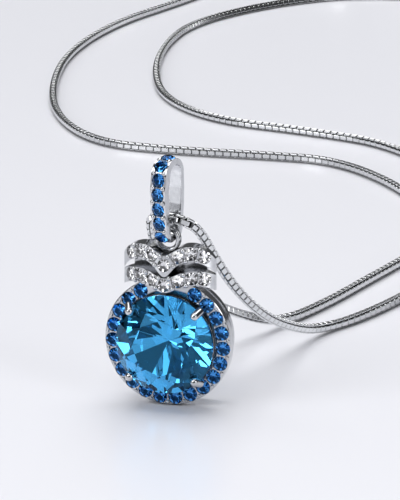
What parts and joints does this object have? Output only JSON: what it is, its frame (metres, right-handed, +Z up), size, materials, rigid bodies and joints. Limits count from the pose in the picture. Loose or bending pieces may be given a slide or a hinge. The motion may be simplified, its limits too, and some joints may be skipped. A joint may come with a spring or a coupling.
{
  "type": "pendant necklace",
  "caption": "Round blue stone in a halo under a pave bow, hung from a stone-set bail on a box chain closed by a spring ring.",
  "frame": {"origin": "middle of the pendant's and bail's footprint, on the surface that the pendant's lowest rim and the chain rest on", "axes": "+Z up from the halo through the bow to the bail, -Y out of the jewelled front, +Y out of the back, +X to the right seen from the front"},
  "size_m": [0.0635, 0.1781, 0.0202],
  "materials": {
    "plated_silver": "bright rhodium-plated silver, high polish with fine handling marks",
    "chain_silver": "bright plated silver box links, polished on the flats, darker in the joints",
    "clasp_silver": "polished plated silver",
    "centre_gem": "sky-blue to aqua faceted stone, transparent, polished facets",
    "blue_gem": "deep sapphire-blue faceted stones, transparent",
    "clear_gem": "colourless faceted stones, transparent"
  },
  "bodies": {
    "chain": {"box_chain": "chain_silver", "chain_cap_left": "clasp_silver", "chain_cap_right": "clasp_silver", "chain_end_ring": "clasp_silver", "clasp_jump_ring": "clasp_silver"},
    "bail": {"bail_frame": "plated_silver", "bail_stone_1": "blue_gem", "bail_stone_2": "blue_gem", "bail_stone_3": "blue_gem", "bail_stone_4": "blue_gem", "bail_stone_5": "blue_gem", "bail_stone_6": "blue_gem", "bail_stone_7": "blue_gem"},
    "pendant": {"bow_bridge": "plated_silver", "bow_lower_band": "plated_silver", "bow_lower_stones": "clear_gem", "bow_upper_band": "plated_silver", "bow_upper_stones": "clear_gem", "centre_stone": "centre_gem", "claw_head": "plated_silver", "gallery_rail": "plated_silver", "halo_plate": "plated_silver", "halo_stone_01": "blue_gem", "halo_stone_02": "blue_gem", "halo_stone_03": "blue_gem", "halo_stone_04": "blue_gem", "halo_stone_05": "blue_gem", "halo_stone_06": "blue_gem", "halo_stone_07": "blue_gem", "halo_stone_08": "blue_gem", "halo_stone_09": "blue_gem", "halo_stone_10": "blue_gem", "halo_stone_11": "blue_gem", "halo_stone_12": "blue_gem", "halo_stone_13": "blue_gem", "halo_stone_14": "blue_gem", "halo_stone_15": "blue_gem", "halo_stone_16": "blue_gem", "halo_stone_17": "blue_gem", "halo_stone_18": "blue_gem", "halo_stone_19": "blue_gem", "halo_stone_20": "blue_gem", "pendant_loop": "plated_silver"},
    "clasp": {"clasp_body": "clasp_silver", "clasp_spring": "clasp_silver"},
    "clasp_bolt": {"clasp_bolt": "clasp_silver", "clasp_thumb_lug": "clasp_silver"}
  },
  "joints": [
    {"name": "bail_swing", "type": "hinge", "parent": "chain", "child": "bail", "pos_m": [0, -0.00004, 0.01525], "axis": [-0.9613, 0.2756, 0], "range_deg": [0, 75]},
    {"name": "pendant_swing", "type": "hinge", "parent": "bail", "child": "pendant", "pos_m": [0, -0.00005, 0.01355], "axis": [0, 1, 0], "range_deg": [-12, 35]},
    {"name": "clasp_swivel", "type": "hinge", "parent": "chain", "child": "clasp", "pos_m": [-0.0293, 0.1725, 0.00111], "axis": [0, 0, 1], "range_deg": [-4, 4]},
    {"name": "clasp_bolt_slide", "type": "hinge", "parent": "clasp", "child": "clasp_bolt", "pos_m": [-0.026, 0.1725, 0.00111], "axis": [0, 0, 1], "range_deg": [0, 56], "stiffness_Nm_per_rad": 0.0004, "springref_deg": -11.46}
  ]
}
